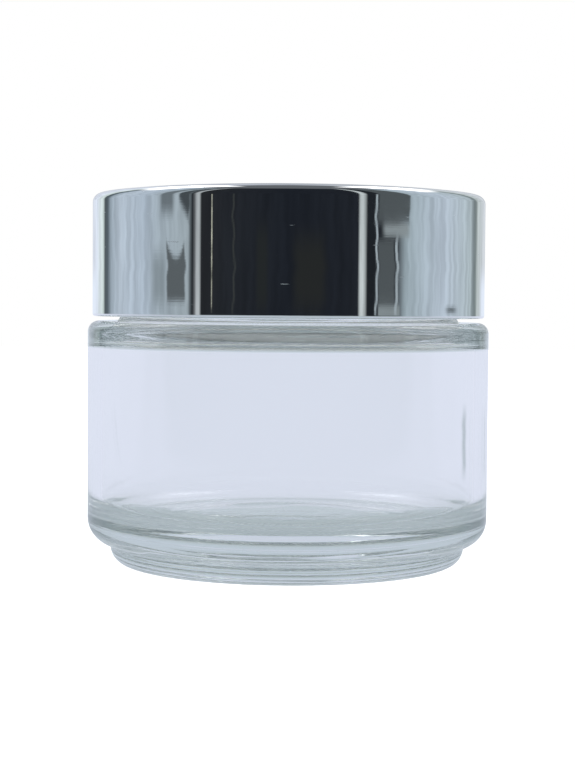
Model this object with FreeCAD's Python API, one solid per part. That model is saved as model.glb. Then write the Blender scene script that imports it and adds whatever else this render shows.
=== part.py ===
"""Screw-lid cosmetic cream jar, 70 mm in diameter and about 65 mm tall.

A clear pressed-glass jar with a heavy base and a narrower foot carries a polished metal
lid. The lid is a drawn shell over a ribbed plastic insert that holds the thread, and a
foam liner lies inside it. A dished plastic disc seals the mouth of the jar.

Units are millimetres. The origin is the centre of the foot's bearing face, +Z is up and
is the axis of the jar and of the lid's thread.
"""
import FreeCAD, Part
import math
import os

# --- Driving dimensions: the glass jar ------------------------------------------------
body_radius = 35.0            # outside of the straight glass wall
total_height = 64.66          # foot to the top of the lid
shoulder_z = 42.3             # flat top of the shoulder
shoulder_corner = 1.9
heel_z = 3.5                  # underside of the body, where it steps in to the foot
heel_rise = 1.1               # that underside climbs by this much, out to the wall
heel_corner = 4.6
foot_radius = 31.0
foot_corner = 3.1             # large rounding from the foot's wall to the bearing face
foot_fillet = 0.4             # in the angle under the heel
bearing_inner = 21.5          # the flat ring that the jar stands on begins here
underside_rise = 1.3          # hollow in the middle of the underside
underside_slope = 4.0         # width of the slope from the bearing ring to that hollow

wall = 2.4                    # side wall of the jar
floor_z = 8.4                 # the cavity's floor, next to the wall
dome_radius = 23.5            # the floor rises inside this radius
dome_slope = 9.0              # over this width
dome_rise = 0.6
cavity_corner = 4.0           # rounding between the floor and the wall
cone_low_z = 38.7             # the wall turns in here, and rises as a cone to the bore
cone_high_z = 42.0
cone_corner = 1.5
soft_corner = 4.0             # rounding of the dome's and the underside's gentle bends

# --- Driving dimensions: the neck, after the 63 mm continuous-thread finish ------------
neck_radius = 29.5
neck_height = 14.2            # above the shoulder
bore_radius = 26.8
rim_corner = 0.8
neck_fillet = 0.7
thread_pitch = 25.4 / 6.0     # six threads to the inch
thread_depth = 1.3
thread_base = 2.2             # width of the ridge at its root
thread_crest = 0.9
thread_start_z = 48.4
thread_turns = 1.25

# --- Driving dimensions: the lid --------------------------------------------------------
lid_radius = 34.2
lid_gap = 0.8                 # between the shoulder and the lid's lower edge
lid_corner = 1.5
crown_radius = 29.2           # the lid's top is flat inside this radius
crown_slope = 0.11            # and falls by this much per millimetre outside it
crown_curve = 25.0
shell_wall = 0.7
hem_width = 0.5               # the shell's lower edge is turned in by this much
hem_height = 1.0
hem_corner = 0.45
shell_play = 0.05             # between the shell and its insert, all round

insert_lip = 0.3              # the insert's skirt ends this far above the shell's edge
insert_wall = 1.2
insert_flange = 1.4           # height of the flange that the shell's hem holds
insert_plate = 1.3            # plate over the liner
rib_count = 24
rib_width = 1.0
hub_radii = (9.0, 20.0)       # ring ribs between the insert's plate and the shell
web_count = 6                 # straight ribs that cross the ring ribs
web_reach = 27.5
insert_thread_clearance = 0.4
insert_thread_reach = 1.2
insert_thread_base = 1.9
insert_thread_crest = 0.8
insert_thread_turns = 1.1
thread_drop = 1.6             # the insert's ridge runs this far below the jar's

liner_thickness = 1.5
liner_play = 0.3

# --- Driving dimensions: the sealing disc ------------------------------------------------
disc_radius = 28.9
disc_thickness = 1.0
disc_edge = 0.3
plug_play = 0.3
plug_depth = 3.2
plug_wall = 0.8
plug_corner = 0.5
tab_width = 11.0
tab_height = 2.4
tab_thickness = 1.0

# --- Levels and radii that follow ----------------------------------------------------------
cavity_radius = body_radius - wall
rim_z = shoulder_z + neck_height
disc_top_z = rim_z + disc_thickness
liner_top_z = disc_top_z + liner_thickness
lid_bottom_z = shoulder_z + lid_gap
hem_top_z = lid_bottom_z + hem_height
shell_inside_radius = lid_radius - shell_wall
shell_inside_z = total_height - shell_wall
crown_edge_drop = crown_slope * (lid_radius - crown_radius)
inside_edge_drop = crown_slope * (shell_inside_radius - crown_radius)
insert_inside_radius = neck_radius + thread_depth + insert_thread_clearance
insert_wall_radius = insert_inside_radius + insert_wall
insert_outer_radius = shell_inside_radius - shell_play
insert_bottom_z = lid_bottom_z + insert_lip
insert_top_z = liner_top_z + insert_plate
flange_bottom_z = hem_top_z + shell_play
flange_top_z = flange_bottom_z + insert_flange
hub_top_z = shell_inside_z - shell_play
plug_radius = bore_radius - plug_play
plug_floor_z = rim_z - plug_depth

ORIGIN = FreeCAD.Vector(0, 0, 0)
AXIS = FreeCAD.Vector(0, 0, 1)
SINK = 0.3                    # how deep a ridge or rib starts inside the wall it joins


# --- Helpers ---------------------------------------------------------------------------------
def rounded_corner(before, corner, after, radius):
    """The arc that rounds a corner, and the two points where it leaves the straight runs."""
    to_before = (before - corner).normalize()
    to_after = (after - corner).normalize()
    half_angle = to_before.getAngle(to_after) / 2
    reach = radius / math.tan(half_angle)
    start = corner + to_before * reach
    end = corner + to_after * reach
    inward = (to_before + to_after).normalize()
    middle = corner + inward * (radius / math.sin(half_angle) - radius)
    return Part.Arc(start, middle, end).toShape(), start, end


def turned(corners):
    """A solid turned about Z from a closed outline of (radius, z) or (radius, z, rounding)."""
    points = [FreeCAD.Vector(corner[0], 0, corner[1]) for corner in corners]
    arrivals = list(points)
    departures = list(points)
    arcs = [None] * len(points)
    for i, corner in enumerate(corners):
        if len(corner) == 3:
            after = points[(i + 1) % len(points)]
            arcs[i], arrivals[i], departures[i] = rounded_corner(
                points[i - 1], points[i], after, corner[2])
    edges = []
    for i, arc in enumerate(arcs):
        if arc:
            edges.append(arc)
        target = arrivals[(i + 1) % len(points)]
        edges.append(Part.LineSegment(departures[i], target).toShape())
    return Part.Face(Part.Wire(edges)).revolve(ORIGIN, AXIS, 360)


def ring(inner, outer, low, high):
    """A square-edged ring, or a plain disc when its inner radius is 0."""
    return turned([(inner, low), (outer, low), (outer, high), (inner, high)])


def thread_ridge(root_radius, reach, base, crest, start_z, turns):
    """One right-hand ridge. A positive reach stands outwards, a negative one inwards."""
    root = root_radius - math.copysign(SINK, reach)
    tip = root_radius + reach
    flank = (base - crest) / 2 / abs(reach)
    root_half = base / 2 + flank * SINK
    outline = [(root, -root_half), (tip, -crest / 2), (tip, crest / 2), (root, root_half)]
    points = [FreeCAD.Vector(radius, 0, start_z + z) for radius, z in outline]
    section = Part.makePolygon(points + [points[0]])
    path = Part.makeHelix(thread_pitch, thread_pitch * turns, root_radius)
    path.translate(FreeCAD.Vector(0, 0, start_z))
    return Part.Wire(path.Edges).makePipeShell([section], True, True)


def spokes(count, width, inner, outer, low, high):
    """Upright flat ribs that run outwards from the axis, evenly spaced."""
    corner = FreeCAD.Vector(inner, -width / 2, low)
    rib = Part.makeBox(outer - inner, width, high - low, corner)
    ribs = []
    for i in range(count):
        turned_rib = rib.copy()
        turned_rib.rotate(ORIGIN, AXIS, 360 * i / count)
        ribs.append(turned_rib)
    return ribs


# --- Sub-parts -------------------------------------------------------------------------------
def glass_jar():
    """Foot, body, shoulder and threaded neck round one cavity, pressed in one piece."""
    blank = turned([
        (0, underside_rise),
        (bearing_inner - underside_slope, underside_rise, soft_corner),
        (bearing_inner, 0),
        (foot_radius, 0, foot_corner),
        (foot_radius, heel_z, foot_fillet),
        (body_radius, heel_z + heel_rise, heel_corner),
        (body_radius, shoulder_z, shoulder_corner),
        (neck_radius, shoulder_z, neck_fillet),
        (neck_radius, rim_z, rim_corner),
        (0, rim_z),
    ])
    above_rim = rim_z + 1
    cavity = turned([
        (0, floor_z + dome_rise),
        (dome_radius - dome_slope, floor_z + dome_rise, soft_corner),
        (dome_radius, floor_z, soft_corner),
        (cavity_radius, floor_z, cavity_corner),
        (cavity_radius, cone_low_z, cone_corner),
        (bore_radius, cone_high_z, cone_corner),
        (bore_radius, above_rim),
        (0, above_rim),
    ])
    ridge = thread_ridge(neck_radius, thread_depth, thread_base, thread_crest,
                         thread_start_z, thread_turns)
    return blank.cut(cavity).fuse(ridge)


def lid_shell():
    """Polished drawn-metal shell, its lower edge turned in to hold the insert."""
    hem_radius = shell_inside_radius - hem_width
    return turned([
        (0, total_height),
        (0, shell_inside_z),
        (crown_radius, shell_inside_z, crown_curve),
        (shell_inside_radius, shell_inside_z - inside_edge_drop, lid_corner - shell_wall),
        (shell_inside_radius, hem_top_z),
        (hem_radius, hem_top_z),
        (hem_radius, lid_bottom_z),
        (lid_radius, lid_bottom_z, hem_corner),
        (lid_radius, total_height - crown_edge_drop, lid_corner),
        (crown_radius, total_height, crown_curve),
    ])


def lid_insert():
    """Threaded skirt and top plate, with ribs outside them that fill out the shell."""
    skirt = ring(insert_inside_radius, insert_wall_radius, insert_bottom_z, insert_top_z)
    plate = ring(0, insert_wall_radius, liner_top_z, insert_top_z)
    flange = ring(insert_wall_radius - SINK, insert_outer_radius, flange_bottom_z, flange_top_z)
    hubs = [ring(r - rib_width / 2, r + rib_width / 2, insert_top_z - SINK, hub_top_z)
            for r in hub_radii]
    ribs = spokes(rib_count, rib_width, insert_wall_radius - SINK, insert_outer_radius,
                  flange_top_z - SINK, insert_top_z)
    webs = spokes(web_count, rib_width, hub_radii[0], web_reach, insert_top_z - SINK, hub_top_z)
    ridge = thread_ridge(insert_inside_radius, -insert_thread_reach, insert_thread_base,
                         insert_thread_crest, thread_start_z - thread_drop, insert_thread_turns)
    body = skirt.fuse([plate, flange, ridge] + hubs + ribs + webs)
    return body.removeSplitter()


def lid_liner():
    """Foam wad that lies against the insert's plate and presses the disc on the rim."""
    return ring(0, insert_inside_radius - liner_play, disc_top_z, liner_top_z)


def sealing_disc():
    """Dished disc: a flange on the rim, a plug in the bore and a tab to lift it by."""
    recess_radius = plug_radius - plug_wall
    recess_floor_z = plug_floor_z + plug_wall
    dish = turned([
        (0, plug_floor_z),
        (plug_radius, plug_floor_z, plug_corner),
        (plug_radius, rim_z),
        (disc_radius, rim_z),
        (disc_radius, disc_top_z, disc_edge),
        (recess_radius, disc_top_z, disc_edge),
        (recess_radius, recess_floor_z, plug_corner),
        (0, recess_floor_z),
    ])
    tab = Part.makeBox(tab_width, tab_thickness, tab_height + SINK,
                       FreeCAD.Vector(-tab_width / 2, -tab_thickness / 2, recess_floor_z - SINK))
    return dish.fuse(tab)


SUB_PARTS = (glass_jar, lid_shell, lid_insert, lid_liner, sealing_disc)

os.makedirs("parts", exist_ok=True)
for sub_part in SUB_PARTS:
    solid = sub_part()
    solid.exportStep(f"parts/{sub_part.__name__}.step")
    print(f"{sub_part.__name__}: {len(solid.Solids)} solid, {solid.Volume:.0f} mm3, valid {solid.isValid()}")
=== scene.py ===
"""Glass cream jar with a polished metal screw lid, on a pale floor in soft studio light.

Lengths are in millimetres and are scaled to metres when a mesh is made. The jar's axis is
Z, the foot stands at z = 0, and the camera looks along +Y.
"""
import math

import bpy
import numpy as np
from mathutils import Matrix, Vector


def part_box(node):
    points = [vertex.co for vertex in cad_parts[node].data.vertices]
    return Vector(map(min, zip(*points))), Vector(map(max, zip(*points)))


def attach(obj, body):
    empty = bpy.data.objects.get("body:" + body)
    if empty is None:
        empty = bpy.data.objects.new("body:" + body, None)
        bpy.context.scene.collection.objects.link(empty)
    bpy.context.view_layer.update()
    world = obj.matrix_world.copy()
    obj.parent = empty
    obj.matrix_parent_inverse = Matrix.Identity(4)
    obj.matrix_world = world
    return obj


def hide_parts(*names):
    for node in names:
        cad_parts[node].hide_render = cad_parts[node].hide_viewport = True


MM = 0.001
TAU = 2 * math.pi

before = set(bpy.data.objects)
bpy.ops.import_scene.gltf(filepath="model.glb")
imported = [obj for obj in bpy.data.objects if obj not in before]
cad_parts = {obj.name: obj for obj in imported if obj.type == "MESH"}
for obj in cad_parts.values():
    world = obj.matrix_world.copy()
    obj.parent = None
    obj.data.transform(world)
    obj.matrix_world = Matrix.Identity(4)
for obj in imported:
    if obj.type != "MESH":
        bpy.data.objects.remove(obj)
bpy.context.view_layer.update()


# --- Dimensions read from the frame -----------------------------------------------------
def outer_radius(node):
    """Largest radius of a round node."""
    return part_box(node)[1].x / MM


def levels(node):
    """Lowest and highest z of a node."""
    low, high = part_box(node)
    return low.z / MM, high.z / MM


body_radius = outer_radius("glass_jar")
rim_z = levels("glass_jar")[1]
lid_radius = outer_radius("lid_shell")
lid_bottom_z, lid_top_z = levels("lid_shell")
insert_outer_radius = outer_radius("lid_insert")
insert_bottom_z, insert_rib_top_z = levels("lid_insert")
liner_radius = outer_radius("lid_liner")
liner_bottom_z, liner_top_z = levels("lid_liner")
disc_radius = outer_radius("sealing_disc")
disc_bottom_z, disc_top_z = levels("sealing_disc")

# --- Dimensions of the glass --------------------------------------------------------------
lid_gap = 0.8
shoulder_z = lid_bottom_z - lid_gap
shoulder_corner = 1.9
heel_z = 3.5
heel_rise = 1.1               # the heel's underside climbs by this much, out to the wall
heel_corner = 4.6
foot_radius = 31.0
foot_corner = 3.1
foot_fillet = 0.4
bearing_inner = 21.5          # the flat ring that the jar stands on begins here
underside_rise = 1.3          # hollow in the middle of the underside
underside_slope = 4.0         # width of the slope from the bearing ring to that hollow
wall = 2.4
cavity_radius = body_radius - wall
floor_z = 8.4                 # the cavity's floor, next to the wall
dome_radius = 23.5            # the floor rises inside this radius
dome_slope = 9.0              # over this width
dome_rise = 0.6
cavity_corner = 4.0           # between the floor and the wall
cone_low_z = 38.7             # the wall turns in here, and rises as a cone to the bore
cone_high_z = 42.0
cone_corner = 1.5
soft_corner = 4.0             # rounding of the dome's and the underside's gentle bends
neck_radius = 29.5
neck_fillet = 0.7
bore_radius = 26.8
rim_corner = 0.8

thread_pitch = 25.4 / 6.0
thread_depth = 1.3
thread_base = 2.2
thread_crest = 0.9
thread_start_z = 48.4
thread_turns = 1.25
thread_lead = 0.02            # a ridge begins this share of a turn past +X
thread_fade = 0.09            # and each of its ends fades over this share of a turn

knurl_count = 136             # ridges round the bearing ring
knurl_depth = 0.2
knurl_inner = 21.6
knurl_outer = 24.6
knurl_edge = 0.4              # the ridges run out over this width at both ends
seam_angle = math.radians(274)  # the mould's two halves meet here and opposite
seam_step = 0.02              # one half sits this much lower, on the heel and the foot
seam_fade_z = (8, 12)         # between these levels the step fades out
swirl_height = 0.05           # unevenness of the cavity's floor

# --- Dimensions of the lid and what it holds --------------------------------------------------
lid_corner = 1.5
crown_radius = 29.2           # the lid's top is flat inside this radius
crown_slope = 0.11            # and falls by this much per millimetre outside it
crown_curve = 25.0
shell_wall = 0.7
hem_width = 0.5               # the shell's lower edge is turned in by this much
hem_height = 1.0
hem_corner = 0.45
hem_inner_corner = 0.2
insert_wall_radius = 32.4
insert_inside_radius = 31.2
insert_plate_top_z = 60.3
shell_play = 0.05             # between the shell's hem and the insert's flange
flange_height = 1.4
flange_low_z = lid_bottom_z + hem_height + shell_play
flange_high_z = flange_low_z + flange_height
insert_thread_reach = 1.2
insert_thread_base = 1.9
insert_thread_crest = 0.8
insert_thread_turns = 1.1
thread_drop = 1.6             # the insert's ridge runs this far below the jar's
rib_width = 1.0
rib_sink = 0.3                # how deep a rib or the disc's tab starts inside what it joins
hub_radii = (9.0, 20.0)       # ring ribs between the insert's plate and the shell
web_count = 6                 # straight ribs that cross the ring ribs
web_reach = 27.5
rib_count = 24
rim_mark = 0.15               # the jar's rim has pressed this far into the liner
plug_radius = 26.5
plug_wall = 0.8
rim_play = 0.06               # the disc's flange only touches the rim in places
tab_width = 11.0
tab_height = 2.4
tab_thickness = 1.0
bead_height = 0.15            # fine raised ring round the tab
bead_radii = (7.5, 7.3, 6.9, 6.7)

ROUND = 408                   # points round a ring of the jar or the lid's shell
FINE = 3 * ROUND              # points round a ring in the knurling
ROUND_INSIDE = 272            # points round a ring of what the lid holds
ROUND_HUB = 136               # points round a ring rib


# --- Mesh helpers -----------------------------------------------------------------------------
def rounded_corner(before, corner, after, radius, step):
    """Points on the arc that rounds a corner of an outline, one every step radians at most."""
    to_before = (before - corner).normalized()
    to_after = (after - corner).normalized()
    half_angle = to_before.angle(to_after) / 2
    reach = radius / math.tan(half_angle)
    centre = corner + (to_before + to_after).normalized() * (radius / math.sin(half_angle))
    start = corner + to_before * reach - centre
    end = corner + to_after * reach - centre
    turn = math.pi - 2 * half_angle
    count = max(2, math.ceil(turn / step), math.ceil(turn * radius / 2.0))
    points = []
    for i in range(count + 1):
        share = i / count
        blend = start * math.sin((1 - share) * turn) + end * math.sin(share * turn)
        points.append(centre + blend / math.sin(turn))
    return points


def outline(corners, run_step=2.0, arc_step=math.radians(6), edge=0.12):
    """Points (radius, z) along an open outline. A corner's third value is its rounding.

    A point stands the edge's length outside each arc, so that smooth shading keeps the
    straight runs straight.
    """
    vectors = [Vector((corner[0], corner[1])) for corner in corners]
    pieces = []
    for i, corner in enumerate(corners):
        inner = 0 < i < len(corners) - 1
        if inner and len(corner) == 3:
            before, after = vectors[i - 1], vectors[i + 1]
            pieces.append(rounded_corner(before, vectors[i], after, corner[2], arc_step))
        else:
            pieces.append([vectors[i]])
    points = list(pieces[0])
    for before, piece in zip(pieces, pieces[1:]):
        start, end = points[-1], piece[0]
        run = end - start
        low = edge if len(before) > 1 and run.length > 3 * edge else 0
        high = edge if len(piece) > 1 and run.length > 3 * edge else 0
        if low:
            points.append(start + run.normalized() * low)
        near, far = points[-1], end - run.normalized() * high
        count = max(1, math.ceil((far - near).length / run_step))
        points += [near.lerp(far, i / count) for i in range(1, count + 1)]
        if high:
            points.append(end)
        points += piece[1:]
    return [(p.x, p.y) for p in points]


def smooth(low, high, value):
    """Smooth step from 0 at low to 1 at high."""
    t = np.clip((value - low) / (high - low), 0, 1)
    return t * t * (3 - 2 * t)


def ring_faces(first, first_count, second, second_count):
    """Faces between two rings of vertices. One ring may have a whole multiple of the other's."""
    if first_count == 1:
        return [(first, second + (j + 1) % second_count, second + j) for j in range(second_count)]
    if second_count == 1:
        return [(second, first + j, first + (j + 1) % first_count) for j in range(first_count)]
    coarse = min(first_count, second_count)
    first_share = first_count // coarse
    second_share = second_count // coarse
    faces = []
    for j in range(coarse):
        lower = [first + (j * first_share + k) % first_count for k in range(first_share + 1)]
        upper = [second + (j * second_share + k) % second_count for k in range(second_share + 1)]
        faces.append(tuple(lower + upper[::-1]))
    return faces


def lathe_mesh(sections, shape=None, closed=False):
    """Vertices and faces of a turned form. Each section is (outline points, points round).

    shape(r, z, angle) bends it. The outline runs up the outside first, so that faces point
    outwards. Unless it is closed on itself, it starts and ends on the axis.
    """
    rings = []
    for points, count in sections:
        rings += [(r, z, 1 if r < 1e-6 else count) for r, z in points]
    merged = [rings[0]]
    for ring in rings[1:]:
        if math.dist(ring[:2], merged[-1][:2]) < 1e-4:
            merged[-1] = (ring[0], ring[1], max(ring[2], merged[-1][2]))
        else:
            merged.append(ring)
    if closed and math.dist(merged[0][:2], merged[-1][:2]) < 1e-4:
        merged.pop()
    vertices, starts, total = [], [], 0
    for r, z, count in merged:
        angle = np.arange(count) * (TAU / count)
        radius, height = np.full(count, float(r)), np.full(count, float(z))
        if shape is not None and count > 1:
            radius, height = shape(radius, height, angle)
        vertices.append(np.column_stack((radius * np.cos(angle), radius * np.sin(angle), height)))
        starts.append(total)
        total += count
    faces = []
    pairs = list(zip(range(len(merged) - 1), range(1, len(merged))))
    if closed:
        pairs.append((len(merged) - 1, 0))
    for a, b in pairs:
        faces += ring_faces(starts[a], merged[a][2], starts[b], merged[b][2])
    return np.vstack(vertices), faces


def lathe(name, sections, shape=None, closed=False):
    """A turned form as an object."""
    return mesh_object(name, [lathe_mesh(sections, shape, closed)])


def rounded_block(low, high, corner, steps=3):
    """Vertices and faces of a box with rounded upright edges and softened top and bottom."""
    (x0, y0, z0), (x1, y1, z1) = low, high
    rings = []
    profile = [(corner * 0.5, z0), (0, z0 + corner * 0.5), (0, z1 - corner * 0.5), (corner * 0.5, z1)]
    for inset, z in profile:
        ring = []
        for quarter, (cx, cy) in enumerate(((x1, y1), (x0, y1), (x0, y0), (x1, y0))):
            cx += corner if cx == x0 else -corner
            cy += corner if cy == y0 else -corner
            reach = corner - inset
            for i in range(steps + 1):
                turn = math.pi / 2 * (quarter + i / steps)
                ring.append((cx + reach * math.cos(turn), cy + reach * math.sin(turn), z))
        rings.append(ring)
    count = len(rings[0])
    faces = [tuple(range(count - 1, -1, -1))]
    for a in range(len(rings) - 1):
        for j in range(count):
            k = (j + 1) % count
            faces.append((a * count + j, a * count + k, (a + 1) * count + k, (a + 1) * count + j))
    faces.append(tuple((len(rings) - 1) * count + j for j in range(count)))
    return np.array([point for ring in rings for point in ring]), faces


def turned_copies(form, count):
    """The same form, turned about the axis to count even places."""
    vertices, faces = form
    copies = []
    for i in range(count):
        turn = TAU * i / count
        x = vertices[:, 0] * math.cos(turn) - vertices[:, 1] * math.sin(turn)
        y = vertices[:, 0] * math.sin(turn) + vertices[:, 1] * math.cos(turn)
        copies.append((np.column_stack((x, y, vertices[:, 2])), faces))
    return copies


def mesh_object(name, forms):
    """One smooth-shaded object from forms, each of them vertices in millimetres and faces."""
    vertices, faces, total = [], [], 0
    for form_vertices, form_faces in forms:
        vertices.append(np.asarray(form_vertices, dtype=float))
        faces += [tuple(index + total for index in face) for face in form_faces]
        total += len(form_vertices)
    mesh = bpy.data.meshes.new(name)
    mesh.from_pydata([tuple(v) for v in np.vstack(vertices) * MM], [], faces)
    mesh.shade_smooth()
    mesh.update()
    piece = bpy.data.objects.new(name, mesh)
    bpy.context.scene.collection.objects.link(piece)
    return piece


def finish_piece(piece, material, body, slot, *nodes):
    """Gives a piece its material and its body, and hides the CAD nodes it stands for. The slot argument is
    not used.
    """
    piece.data.materials.append(material)
    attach(piece, body)
    if nodes:
        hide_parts(*nodes)
    return piece


# --- The glass jar ----------------------------------------------------------------------------
def ridge_height(z, angle, start_z, turns, reach, base, crest):
    """How far a right-hand screw thread stands out at each point."""
    height = np.zeros_like(z)
    for turn in range(math.ceil(turns) + 1):
        along = angle / TAU + turn - thread_lead
        centre = start_z + thread_pitch * along
        ends = smooth(0, thread_fade, along) * smooth(0, thread_fade, turns - along)
        ridge = 1 - smooth(crest / 2, base / 2, np.abs(z - centre))
        height = np.maximum(height, reach * ridge * ends)
    return height


def glass_shape(r, z, angle):
    """The thread, the knurling, the mould's seams and the unevenness of pressed glass."""
    on_neck = (np.abs(r - neck_radius) < 0.01) & (z > shoulder_z + 1) & (z < rim_z - 1)
    thread = ridge_height(z, angle, thread_start_z, thread_turns, thread_depth,
                          thread_base, thread_crest)
    dr = np.where(on_neck, thread, 0)

    inner_end = smooth(knurl_inner - 0.05, knurl_inner + knurl_edge, r)
    outer_end = smooth(knurl_outer - knurl_edge, knurl_outer + 0.05, r)
    valley = 0.5 - 0.5 * np.cos(knurl_count * angle)
    on_bearing_face = z < 0.02
    dz = np.where(on_bearing_face, knurl_depth * inner_end * (1 - outer_end) * valley, 0)

    in_base = z < seam_fade_z[1]
    outside = in_base & (r > cavity_radius + 0.5) | (z < heel_z + 0.01)
    half = smooth(-0.01, 0.01, np.sin(angle - seam_angle))
    fade = 1 - smooth(*seam_fade_z, z)
    dz -= np.where(outside & (z > 0.5), seam_step * half * fade, 0)

    on_floor = in_base & (z > floor_z - 0.3) & (r < cavity_radius + 0.01) & (r > 0)
    swirl = (np.sin(2 * angle + 0.45 * r) * np.sin(0.31 * r + 1.1)
             + 0.6 * np.sin(3 * angle - 0.38 * r + 2.0))
    dz += np.where(on_floor, swirl_height * swirl * smooth(2, 10, r), 0)
    return r + dr, z + dz


def glass_jar():
    """Foot, body, shoulder and threaded neck outside, and the cavity inside."""
    underside = outline([
        (0, underside_rise),
        (bearing_inner - underside_slope, underside_rise, soft_corner),
        (bearing_inner, 0),
    ])
    knurling = outline([
        (bearing_inner, 0),
        (knurl_outer + 0.2, 0),
    ], run_step=0.3)
    outside = outline([
        (knurl_outer + 0.2, 0),
        (foot_radius, 0, foot_corner),
        (foot_radius, heel_z, foot_fillet),
        (body_radius, heel_z + heel_rise, heel_corner),
        (body_radius, shoulder_z, shoulder_corner),
        (neck_radius, shoulder_z, neck_fillet),
        (neck_radius, shoulder_z + 2),
    ])
    neck = outline([
        (neck_radius, shoulder_z + 2),
        (neck_radius, rim_z, rim_corner),
        (bore_radius, rim_z, rim_corner),
        (bore_radius, rim_z - 2),
    ], run_step=0.25)
    cavity = outline([
        (bore_radius, rim_z - 2),
        (bore_radius, cone_high_z, cone_corner),
        (cavity_radius, cone_low_z, cone_corner),
        (cavity_radius, floor_z, cavity_corner),
        (dome_radius, floor_z, soft_corner),
        (dome_radius - dome_slope, floor_z + dome_rise, soft_corner),
        (0, floor_z + dome_rise),
    ])
    sections = [(underside, ROUND), (knurling, FINE), (outside, ROUND), (neck, ROUND), (cavity, ROUND)]
    return lathe("jar_glass", sections, glass_shape)


# --- The lid and what it holds ---------------------------------------------------------------------
def lid_shell():
    """Drawn shell with a crowned top, its lower edge turned in."""
    inside_radius = lid_radius - shell_wall
    inside_edge_z = lid_top_z - shell_wall - crown_slope * (inside_radius - crown_radius)
    hem_radius = inside_radius - hem_width
    points = outline([
        (0, lid_top_z - shell_wall),
        (crown_radius, lid_top_z - shell_wall, crown_curve),
        (inside_radius, inside_edge_z, lid_corner - shell_wall),
        (inside_radius, lid_bottom_z + hem_height, hem_inner_corner),
        (hem_radius, lid_bottom_z + hem_height, hem_inner_corner),
        (hem_radius, lid_bottom_z, hem_inner_corner),
        (lid_radius, lid_bottom_z, hem_corner),
        (lid_radius, lid_top_z - crown_slope * (lid_radius - crown_radius), lid_corner),
        (crown_radius, lid_top_z, crown_curve),
        (0, lid_top_z),
    ], arc_step=math.radians(4))
    return lathe("lid_metal_shell", [(points, ROUND)])


def insert_shape(r, z, angle):
    """Raises the screw thread inside the insert's skirt."""
    on_skirt = np.abs(r - insert_inside_radius) < 0.01
    ridge = ridge_height(z, angle, thread_start_z - thread_drop, insert_thread_turns,
                         insert_thread_reach, insert_thread_base, insert_thread_crest)
    return r - np.where(on_skirt, ridge, 0), z


def lid_insert():
    """Skirt with its thread, flange and plate, turned in one outline."""
    skirt_edge = (insert_inside_radius + 0.4, insert_bottom_z)
    bore = outline([
        skirt_edge,
        (insert_inside_radius, insert_bottom_z, 0.3),
        (insert_inside_radius, liner_top_z, 0.3),
        (0, liner_top_z),
    ], run_step=0.25)
    outside = outline([
        skirt_edge,
        (insert_wall_radius, insert_bottom_z, 0.3),
        (insert_wall_radius, flange_low_z, 0.2),
        (insert_outer_radius, flange_low_z, 0.2),
        (insert_outer_radius, flange_high_z, 0.2),
        (insert_wall_radius, flange_high_z, 0.2),
        (insert_wall_radius, insert_plate_top_z, 0.4),
        (0, insert_plate_top_z),
    ])
    sections = [(bore[::-1], ROUND_INSIDE), (outside, ROUND_INSIDE)]
    return lathe("insert_skirt", sections, insert_shape)


def insert_ribs():
    """The ring ribs, webs and upright ribs that fill the room between the insert and the shell."""
    forms = []
    half = rib_width / 2
    low, high = insert_plate_top_z - rib_sink, insert_rib_top_z
    middle = (low + high) / 2
    for radius in hub_radii:
        inner, outer = radius - half, radius + half
        points = outline([
            (inner, middle),
            (inner, low, 0.1),
            (outer, low, 0.1),
            (outer, high, 0.2),
            (inner, high, 0.2),
            (inner, middle),
        ])
        forms.append(lathe_mesh([(points, ROUND_HUB)], closed=True))
    web = rounded_block((hub_radii[0] + rib_sink, -half, low), (web_reach, half, high), 0.2)
    forms += turned_copies(web, web_count)
    rib = rounded_block((insert_wall_radius - rib_sink, -half, flange_high_z - rib_sink),
                        (insert_outer_radius, half, insert_plate_top_z), 0.2)
    forms += turned_copies(rib, rib_count)
    return mesh_object("insert_ribs", forms)


def lid_liner():
    """Foam wad with the ring that the jar's rim presses into its lower face."""
    rim_inner, rim_outer = bore_radius - 0.2, disc_radius
    points = outline([
        (0, liner_bottom_z),
        (rim_inner - 0.6, liner_bottom_z),
        (rim_inner, liner_bottom_z + rim_mark, 0.5),
        (rim_outer, liner_bottom_z + rim_mark, 0.4),
        (rim_outer + 0.5, liner_bottom_z, 0.4),
        (liner_radius, liner_bottom_z, 0.25),
        (liner_radius, liner_top_z, 0.25),
        (0, liner_top_z),
    ])
    return lathe("liner_wad", [(points, ROUND_INSIDE)])


def sealing_disc():
    """Dished disc with its plug, and a tab in the dish to lift it by."""
    recess_radius = plug_radius - plug_wall
    recess_floor_z = disc_bottom_z + plug_wall
    points = outline([
        (0, disc_bottom_z),
        (plug_radius, disc_bottom_z, 0.5),
        (plug_radius, rim_z + rim_play, 0.2),
        (disc_radius, rim_z + rim_play, 0.3),
        (disc_radius, disc_top_z, 0.3),
        (recess_radius, disc_top_z, 0.3),
        (recess_radius, recess_floor_z, 0.5),
        (bead_radii[0], recess_floor_z),
        (bead_radii[1], recess_floor_z + bead_height, 0.1),
        (bead_radii[2], recess_floor_z + bead_height, 0.1),
        (bead_radii[3], recess_floor_z),
        (0, recess_floor_z),
    ])
    tab = rounded_block((-tab_width / 2, -tab_thickness / 2, recess_floor_z - rib_sink),
                        (tab_width / 2, tab_thickness / 2, recess_floor_z + tab_height), 0.35)
    return mesh_object("disc_plug", [lathe_mesh([(points, ROUND_INSIDE)]), tab])


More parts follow.
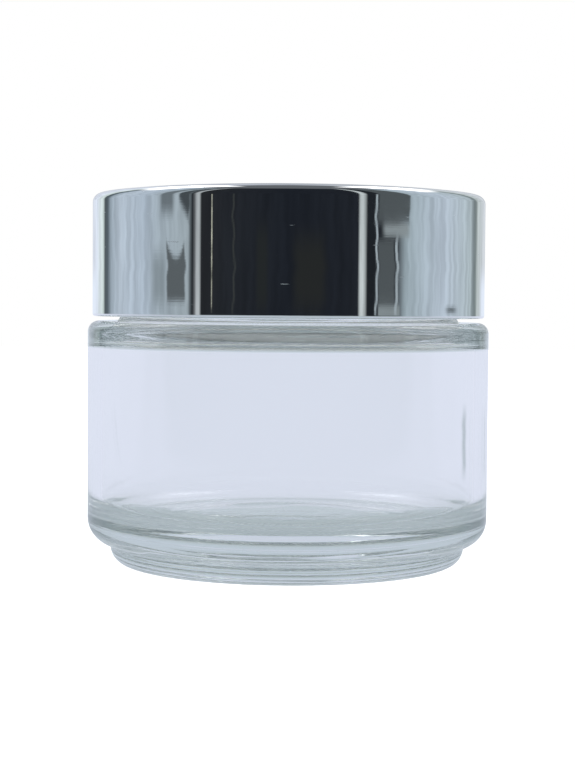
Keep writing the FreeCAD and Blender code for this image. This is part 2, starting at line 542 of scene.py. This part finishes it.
# --- Materials --------------------------------------------------------------------------------------
class Nodes:
    """Short forms for building a node tree."""

    def __init__(self, tree):
        self.tree = tree

    def link(self, value, socket):
        """Links an output to the socket, or sets the socket's own value."""
        if hasattr(value, "is_output"):
            self.tree.links.new(value, socket)
        else:
            socket.default_value = value

    def add(self, kind, *inputs, **settings):
        """A node. Inputs are (name or index, value or output), settings are its properties."""
        node = self.tree.nodes.new("ShaderNode" + kind)
        for name, value in settings.items():
            setattr(node, name, value)
        for name, value in inputs:
            self.link(value, node.inputs[name])
        return node

    def math(self, operation, *values):
        """Result of one Math node."""
        return self.add("Math", *enumerate(values), operation=operation).outputs[0]

    def noise(self, vector, scale, detail=2.0, roughness=0.5):
        """Soft noise, mostly between 0.3 and 0.7."""
        node = self.add("TexNoise", ("Vector", vector), ("Scale", scale), ("Detail", detail),
                        ("Roughness", roughness))
        return node.outputs[0]

    def spread(self, value, low, high, to_low=0.0, to_high=1.0):
        """Smooth step of a value from one span to another."""
        node = self.add("MapRange", ("Value", value), ("From Min", low), ("From Max", high),
                        ("To Min", to_low), ("To Max", to_high), interpolation_type="SMOOTHSTEP")
        return node.outputs[0]

    def mix(self, factor, first, second):
        """The first colour at a factor of 0, the second at 1."""
        node = self.add("Mix", (0, factor), (6, first), (7, second), data_type="RGBA")
        return node.outputs[2]

    def stretched(self, scale):
        """Object coordinates, scaled by axis."""
        place = self.add("TexCoord").outputs["Object"]
        return self.add("Mapping", ("Vector", place), ("Scale", scale)).outputs[0]

    def bump(self, height, strength, distance):
        """Surface normal, tilted by a height."""
        node = self.add("Bump", ("Height", height), ("Strength", strength), ("Distance", distance))
        return node.outputs[0]


def new_material(name):
    """A material, its nodes and its main shader."""
    material = bpy.data.materials.new(name)
    material.use_nodes = True
    tree = material.node_tree
    return material, Nodes(tree), tree.nodes["Principled BSDF"]


def grey(value):
    """An opaque grey."""
    return (value, value, value, 1)


GLASS_TINT = (0.52, 0.60, 0.59, 1)
GLASS_DENSITY = 6.5           # absorption per metre


def glass_material():
    """Clear glass, faintly grey-green in depth, with the striations that a mould leaves."""
    material, nodes, shader = new_material("clear_glass")
    shader.inputs["Base Color"].default_value = grey(1)
    shader.inputs["Transmission Weight"].default_value = 1
    shader.inputs["IOR"].default_value = 1.52
    haze = nodes.noise(nodes.stretched((60, 60, 90)), 1.0, 3.0)
    nodes.link(nodes.spread(haze, 0.45, 0.75, 0.0, 0.012), shader.inputs["Roughness"])
    striae = nodes.noise(nodes.stretched((12, 12, 1400)), 1.0, 3.0, 0.6)
    height = nodes.add("SeparateXYZ", (0, nodes.add("TexCoord").outputs["Object"])).outputs[2]
    near_base = nodes.spread(height, 0.014, 0.009)
    near_shoulder = nodes.spread(height, 0.036, 0.040)
    waviness = nodes.math("ADD", nodes.math("MAXIMUM", near_base, near_shoulder), 0.03)
    waves = nodes.math("MULTIPLY", striae, waviness)
    nodes.link(nodes.bump(waves, 0.02, 0.0002), shader.inputs["Normal"])
    volume = nodes.add("VolumeAbsorption", ("Color", GLASS_TINT), ("Density", GLASS_DENSITY))
    nodes.link(volume.outputs[0], nodes.tree.nodes["Material Output"].inputs["Volume"])
    return material


def metal_material():
    """Mirror-polished metal with fine scratches round it, dull smears and a few nicks."""
    material, nodes, shader = new_material("polished_metal")
    shader.inputs["Base Color"].default_value = (0.90, 0.91, 0.93, 1)
    shader.inputs["Metallic"].default_value = 1
    smear = nodes.noise(nodes.stretched((50, 50, 110)), 1.0, 4.0, 0.6)
    nicks = nodes.noise(nodes.stretched((240, 240, 2400)), 1.0, 1.0)
    smeared = nodes.spread(smear, 0.5, 0.8, 0.015, 0.07)
    nicked = nodes.spread(nicks, 0.77, 0.82, 0, 0.4)
    nodes.link(nodes.math("ADD", smeared, nicked), shader.inputs["Roughness"])
    scratches = nodes.noise(nodes.stretched((60, 60, 4000)), 1.0, 4.0, 0.7)
    nodes.link(nodes.bump(scratches, 0.004, 0.0001), shader.inputs["Normal"])
    return material


def plastic_material(name, colour, roughness, grain):
    """Moulded plastic with a faint grain and uneven colour."""
    material, nodes, shader = new_material(name)
    cloud = nodes.noise(nodes.stretched((90, 90, 90)), 1.0, 4.0)
    darker = tuple(0.9 * part for part in colour[:3]) + (1,)
    nodes.link(nodes.mix(nodes.spread(cloud, 0.3, 0.7), colour, darker), shader.inputs["Base Color"])
    nodes.link(nodes.spread(cloud, 0.3, 0.7, roughness, roughness + 0.1), shader.inputs["Roughness"])
    fine = nodes.noise(nodes.stretched((1, 1, 1)), grain, 2.0)
    nodes.link(nodes.bump(fine, 0.15, 0.0001), shader.inputs["Normal"])
    return material, shader


def foam_material():
    """Closed-cell foam: a white skin with the cells just showing, and painted shade in each cell's hollow.
    """
    material, nodes, shader = new_material("white_foam")
    place = nodes.stretched((1, 1, 1))
    cells = nodes.add("TexVoronoi", ("Vector", place), ("Scale", 1800.0)).outputs["Distance"]
    depth = nodes.spread(cells, 0.0, 0.6)
    # The colour darkens where each cell dips: painted shade in its hollow.
    nodes.link(nodes.mix(depth, (0.72, 0.72, 0.70, 1), (0.86, 0.86, 0.84, 1)), shader.inputs["Base Color"])
    shader.inputs["Roughness"].default_value = 0.75
    nodes.link(nodes.bump(depth, 0.35, 0.0002), shader.inputs["Normal"])
    return material


# --- Studio ------------------------------------------------------------------------------------------
WALLS = [                              # azimuth from the camera's side, and the colour there
    (-180, (0.42, 0.45, 0.50)), (-166, (0.68, 0.72, 0.80)), (-150, (0.72, 0.78, 0.88)),
    (-143, (0.72, 0.80, 0.82)), (-136, (0.62, 0.72, 0.70)), (-134, (0.09, 0.11, 0.12)),
    (-129, (0.10, 0.13, 0.15)), (-124, (0.36, 0.43, 0.49)), (-114, (0.50, 0.58, 0.66)),
    (-90, (0.44, 0.52, 0.60)), (-80, (0.38, 0.45, 0.50)), (-58.5, (0.34, 0.40, 0.43)),
    (-57.3, (0.02, 0.025, 0.03)), (-55.0, (0.015, 0.018, 0.022)), (-54.4, (0.45, 0.48, 0.50)),
    (-51.8, (0.45, 0.49, 0.50)), (-51.1, (0.02, 0.022, 0.025)), (-36, (0.018, 0.021, 0.026)),
    (0, (0.013, 0.016, 0.022)), (39.8, (0.015, 0.018, 0.024)), (40.3, (0.55, 0.60, 0.60)),
    (43.4, (0.60, 0.66, 0.66)), (43.9, (0.015, 0.018, 0.022)), (64, (0.02, 0.024, 0.03)),
    (70, (0.36, 0.44, 0.48)), (100, (0.50, 0.58, 0.66)), (130, (0.44, 0.52, 0.55)),
    (136, (0.20, 0.24, 0.25)), (139, (0.20, 0.24, 0.24)), (142, (0.50, 0.56, 0.56)),
    (160, (0.66, 0.70, 0.74)), (180, (0.42, 0.45, 0.50)),
]


FLOOR_FRONT_AND_SHADE = (0.385, 0.45, 0.485, 1)  # what glass and metal see of the floor before the jar; glass also sees it under the jar, as painted shade
FLOOR_BACK = (0.70, 0.742, 0.865, 1)   # and behind it
floor_radius = 1500
FLOOR_ROUND = 96                       # points round the floor
painted_shadow_start = 0.031                   # metres right of the axis, where the painted shadow on the floor begins
painted_shadow_bearing = 20.6                  # degrees to the right of straight back, its direction

camera_place = (-0.07, -321.1, 45.71)
camera_tilt = 2.55                     # degrees below level
camera_roll = 0.41
camera_lens = 85.75


class Sky(Nodes):
    """Nodes for colours that depend on direction, in degrees. Azimuth 0 is the camera's side."""

    def __init__(self, tree):
        super().__init__(tree)
        axes = self.add("SeparateXYZ", (0, self.add("TexCoord").outputs["Generated"])).outputs
        self.right, back, self.up = axes[0], axes[1], axes[2]
        front = self.math("MULTIPLY", back, -1)
        self.azimuth = self.math("DEGREES", self.math("ARCTAN2", self.right, front))
        self.elevation = self.math("DEGREES", self.math("ARCSINE", self.up))
        self.off_front = self.math("ABSOLUTE", self.azimuth)
        # For uprights that are not straight, the azimuth swings a little with the elevation.
        wander = self.math("SUBTRACT", self.noise_by_height(1.3, 2.0), 0.5)
        self.bent = self.math("ADD", self.azimuth, self.math("MULTIPLY", wander, 7))

    def noise_by_height(self, scale, detail):
        """Noise that depends on the elevation alone."""
        return self.noise(self.add("CombineXYZ", (2, self.elevation)).outputs[0], scale, detail)

    def band(self, value, low, high, soft):
        """1 where a value lies between low and high, with soft edges."""
        rise = self.spread(value, low - soft, low + soft)
        fall = self.spread(value, high + soft, high - soft)
        return self.math("MULTIPLY", rise, fall)

    def patch(self, colour, shade, azimuths, elevations, softness=(0.4, 0.12), share=1.0,
              bent=False):
        """The colour with a soft-edged patch of the shade over it."""
        across = self.band(self.bent if bent else self.azimuth, *azimuths, softness[0])
        upright = self.band(self.elevation, *elevations, softness[1])
        factor = self.math("MULTIPLY", self.math("MULTIPLY", across, upright), share)
        return self.mix(factor, colour, shade + (1,))


DARK = (0.082, 0.096, 0.102)
MID = (0.125, 0.15, 0.165)
LIGHT = (0.36, 0.42, 0.45)


def walls(sky):
    """The walls' colour by azimuth, with faint upright streaks."""
    ramp = sky.add("ValToRGB", (0, sky.math("ADD", sky.math("DIVIDE", sky.azimuth, 360), 0.5)))
    elements = ramp.color_ramp.elements
    while len(elements) < len(WALLS):
        elements.new(0.5)
    for element, (degrees, colour) in zip(elements, WALLS):
        element.position = degrees / 360 + 0.5
        element.color = colour + (1,)
    height = sky.math("MULTIPLY", sky.elevation, 0.9)
    place = sky.add("CombineXYZ", (0, sky.bent), (1, height)).outputs[0]
    streaks = sky.spread(sky.noise(place, 0.22, 3.0, 0.55), 0.3, 0.7, 0.84, 1.14)
    return sky.add("VectorMath", (0, ramp.outputs[0]), (1, streaks), operation="MULTIPLY").outputs[0]


def left_side(sky, colour):
    """Doorway with a slanting shelf, and below it a dark shape with a notched top."""
    colour = sky.patch(colour, MID, (-78, -69), (2.75, 60), (1.6, 0.35), 0.9)
    slope = sky.math("MULTIPLY", sky.math("ADD", sky.azimuth, 57.5), 0.1)
    over_shelf = sky.spread(sky.math("ADD", sky.elevation, slope), 2.2, 2.65)
    colour = sky.patch(colour, (0.06, 0.072, 0.08), (-65, -57.8), (2.2, 70), (0.9, 0.2),
                       over_shelf, bent=True)
    from_middle = sky.math("ADD", sky.bent, 67.2)
    curve = sky.math("MULTIPLY", sky.math("POWER", from_middle, 2), 0.0135)
    under_notch = sky.spread(sky.math("SUBTRACT", sky.elevation, curve), 1.46, 1.26)
    colour = sky.patch(colour, (0.105, 0.122, 0.13), (-73.6, -61.2), (0.0, 1.98), (0.8, 0.14),
                       under_notch, bent=True)
    return sky.patch(colour, (0.20, 0.24, 0.26), (-84, -74.5), (-0.1, 1.5), (2.5, 0.5), 0.7)


def front_side(sky, colour):
    """The dark side behind the camera: a broken line of light and dim upright shapes."""
    lit = sky.spread(sky.noise_by_height(1.7, 1.0), 0.38, 0.6, 0.18, 1.0)
    colour = sky.patch(colour, (0.75, 0.76, 0.62), (-44.4, -43.9), (-0.1, 3.5), (0.3, 0.2), lit)
    colour = sky.patch(colour, (0.05, 0.056, 0.054), (-31.5, -30.8), (-0.4, 4), (0.6, 0.3), bent=True)
    colour = sky.patch(colour, (0.019, 0.022, 0.023), (-18, -12), (-0.2, 2.3), (1.5, 0.5))
    return sky.patch(colour, (0.020, 0.022, 0.022), (3, 20), (-0.2, 2.0), (3.0, 0.6), bent=True)


def right_side(sky, colour):
    """Door with two dark panels between pale frames, and a small dark bar further round."""
    colour = sky.patch(colour, LIGHT, (50.2, 51.4), (-0.4, 9), (0.3, 0.3), bent=True)
    colour = sky.patch(colour, DARK, (52.2, 73), (2.5, 60), (0.7, 0.15), bent=True)
    colour = sky.patch(colour, (0.26, 0.30, 0.31), (55, 72), (2.07, 2.46), (2, 0.12), bent=True)
    colour = sky.patch(colour, DARK, (51.9, 62), (-0.05, 1.98), (0.6, 0.15), bent=True)
    colour = sky.patch(colour, (0.24, 0.28, 0.29), (51.9, 66), (-0.7, -0.08), (0.6, 0.05))
    colour = sky.patch(colour, LIGHT, (62.9, 64.5), (-0.4, 2.0), (0.4, 0.2), bent=True)
    return sky.patch(colour, MID, (103, 112), (-0.30, -0.12), (4, 0.08))


def ceiling(sky):
    """Where the two large ceiling lights are, and the two small lamps."""
    level = sky.math("MAXIMUM", sky.up, 0.02)
    off_centre = sky.math("ABSOLUTE", sky.math("DIVIDE", sky.right, level))
    rear = sky.math("MULTIPLY", sky.spread(sky.off_front, 104, 112), sky.spread(sky.elevation, 38, 46))
    lights = sky.math("MULTIPLY", sky.spread(off_centre, 0.20, 0.26), rear)
    lamps = sky.math("MULTIPLY", sky.band(sky.off_front, 128, 148, 4),
                     sky.band(sky.elevation, 50, 64, 4))
    return lights, lamps


def seen_in_metal(sky, lights, lamps):
    """The room in detail, as the lid shows it."""
    colour = right_side(sky, front_side(sky, left_side(sky, walls(sky))))
    # Behind the jar the pale sweep curves up, and above it the wall is greyer.
    sweep = sky.math("MULTIPLY", sky.spread(sky.off_front, 146, 156), sky.spread(sky.elevation, 1.4, 0.3))
    colour = sky.mix(sweep, colour, (0.80, 0.87, 0.98, 1))
    # The ceiling is dim round its lights.
    colour = sky.mix(sky.spread(sky.elevation, 55, 66), colour, (0.13, 0.14, 0.15, 1))
    colour = sky.mix(lights, colour, (1.5, 1.5, 1.5, 1))
    return sky.mix(lamps, colour, (9, 9.2, 9.5, 1))


def seen_in_glass(sky, lights, lamps):
    """A softer room: pale behind the jar and grey on the camera's side and overhead."""
    to_back = sky.spread(sky.off_front, 70, 150)
    colour = sky.mix(to_back, (0.40, 0.47, 0.49, 1), (0.62, 0.69, 0.78, 1))
    colour = sky.mix(sky.spread(sky.elevation, 5, 30), colour, (0.46, 0.52, 0.53, 1))
    colour = sky.mix(lights, colour, (1.3, 1.35, 1.4, 1))
    return sky.mix(lamps, colour, (5, 5.2, 5.4, 1))


def studio_world():
    """White for the camera. Glass and metal see a room, and matt pieces an even light."""
    world = bpy.data.worlds.new("studio")
    bpy.context.scene.world = world
    world.use_nodes = True
    sky = Sky(world.node_tree)
    lights, lamps = ceiling(sky)
    rays = sky.add("LightPath").outputs
    colour = sky.mix(rays["Is Transmission Ray"], seen_in_metal(sky, lights, lamps),
                     seen_in_glass(sky, lights, lamps))
    colour = sky.mix(sky.math("MINIMUM", rays["Diffuse Depth"], 1), colour, grey(2.4))
    colour = sky.mix(rays["Is Diffuse Ray"], colour, grey(1.1))
    colour = sky.mix(rays["Is Camera Ray"], colour, grey(1.0))
    sky.link(colour, sky.tree.nodes["Background"].inputs["Color"])


def floor_in_glass(nodes, place, east, north):
    """Grey before the jar and painted shade under it, pale behind it, with a painted shadow at the back
    right.
    """
    distance = nodes.add("VectorMath", (0, place), operation="LENGTH").outputs["Value"]
    # Out to 30–42 mm from the axis the floor keeps the front's grey: painted shade under the jar.
    back = nodes.math("MULTIPLY", nodes.spread(north, -0.03, 0.04), nodes.spread(distance, 0.030, 0.042))
    colour = nodes.mix(back, FLOOR_FRONT_AND_SHADE, FLOOR_BACK)
    # From here on: a dark streak at the back right, a painted shadow on the floor as the glass sees it.
    aside = nodes.math("SUBTRACT", east, painted_shadow_start)
    bearing = nodes.math("DEGREES", nodes.math("ARCTAN2", aside, north))
    sway = nodes.math("MULTIPLY", nodes.noise(nodes.stretched((9, 9, 9)), 1.0), 3)
    off_line = nodes.math("SUBTRACT", nodes.math("ADD", bearing, sway), painted_shadow_bearing)
    across = nodes.spread(nodes.math("ABSOLUTE", off_line), 2.4, 0.2)
    along = nodes.math("MULTIPLY", nodes.spread(distance, 0.15, 0.22), nodes.spread(distance, 0.56, 0.36))
    # Lays the painted shadow over the floor's colour.
    return nodes.mix(nodes.math("MULTIPLY", across, along), colour, (0.24, 0.31, 0.33, 1))


def floor_material():
    """Pale floor. It glows a little, so that it stays pale under the jar."""
    material, nodes, shader = new_material("pale_floor")
    rays = nodes.add("LightPath").outputs
    place = nodes.add("TexCoord").outputs["Object"]
    east, north = nodes.add("SeparateXYZ", (0, place)).outputs[:2]
    shader.inputs["Roughness"].default_value = 0.9
    shader.inputs["Specular IOR Level"].default_value = 0
    nodes.link(nodes.mix(rays["Is Camera Ray"], grey(0.03), grey(0.35)), shader.inputs["Base Color"])
    # What glass sees of the floor holds painted shade under the jar and a painted shadow at the back
    # right.
    in_glass = floor_in_glass(nodes, place, east, north)
    in_metal = nodes.mix(nodes.spread(north, -0.3, 0.3), FLOOR_FRONT_AND_SHADE, FLOOR_BACK)
    unbent = nodes.math("LESS_THAN", rays["Transmission Depth"], 0.5)
    mirrored = nodes.math("MULTIPLY", rays["Is Glossy Ray"], unbent)
    seen = nodes.mix(mirrored, in_glass, in_metal)
    nodes.link(nodes.mix(rays["Is Camera Ray"], seen, grey(0.92)), shader.inputs["Emission Color"])
    shader.inputs["Emission Strength"].default_value = 1
    return material


def floor_disc():
    """Round floor under the jar."""
    angle = np.arange(FLOOR_ROUND) * (TAU / FLOOR_ROUND)
    east, north = floor_radius * np.cos(angle), floor_radius * np.sin(angle)
    edge = np.column_stack((east, north, np.zeros(FLOOR_ROUND)))
    faces = [(0, 1 + j, 1 + (j + 1) % FLOOR_ROUND) for j in range(FLOOR_ROUND)]
    floor = mesh_object("floor", [(np.vstack(([[0, 0, 0]], edge)), faces)])
    floor.data.materials.append(floor_material())


def camera():
    """The scene's camera, a little above the jar's middle and looking slightly down."""
    data = bpy.data.cameras.new("camera")
    data.lens = camera_lens
    data.clip_start = 0.01
    viewer = bpy.data.objects.new("camera", data)
    bpy.context.scene.collection.objects.link(viewer)
    place = Matrix.Translation([part * MM for part in camera_place])
    tilt = Matrix.Rotation(math.radians(90 - camera_tilt), 4, "X")
    roll = Matrix.Rotation(math.radians(camera_roll), 4, "Z")
    viewer.matrix_world = place @ tilt @ roll
    bpy.context.scene.camera = viewer


# --- The scene ----------------------------------------------------------------------------------------
insert_plastic, _ = plastic_material("white_plastic", (0.82, 0.82, 0.79, 1), 0.35, 900.0)
disc_plastic, disc_shader = plastic_material("milky_plastic", (0.80, 0.84, 0.86, 1), 0.3, 700.0)
disc_shader.inputs["Transmission Weight"].default_value = 0.35
finish_piece(glass_jar(), glass_material(), "jar", "clear_glass", "glass_jar")
finish_piece(lid_shell(), metal_material(), "lid", "lid_metal", "lid_shell")
finish_piece(lid_insert(), insert_plastic, "lid", "insert_plastic", "lid_insert")
finish_piece(insert_ribs(), insert_plastic, "lid", "insert_plastic")
liner = finish_piece(lid_liner(), foam_material(), "liner", "liner_foam", "lid_liner")
finish_piece(sealing_disc(), disc_plastic, "disc", "disc_plastic", "sealing_disc")
studio_world()
floor_disc()
camera()

scene = bpy.context.scene
scene.view_settings.view_transform = "Standard"
scene.cycles.max_bounces = 64
scene.cycles.transmission_bounces = 48
scene.cycles.glossy_bounces = 48
scene.cycles.blur_glossy = 0
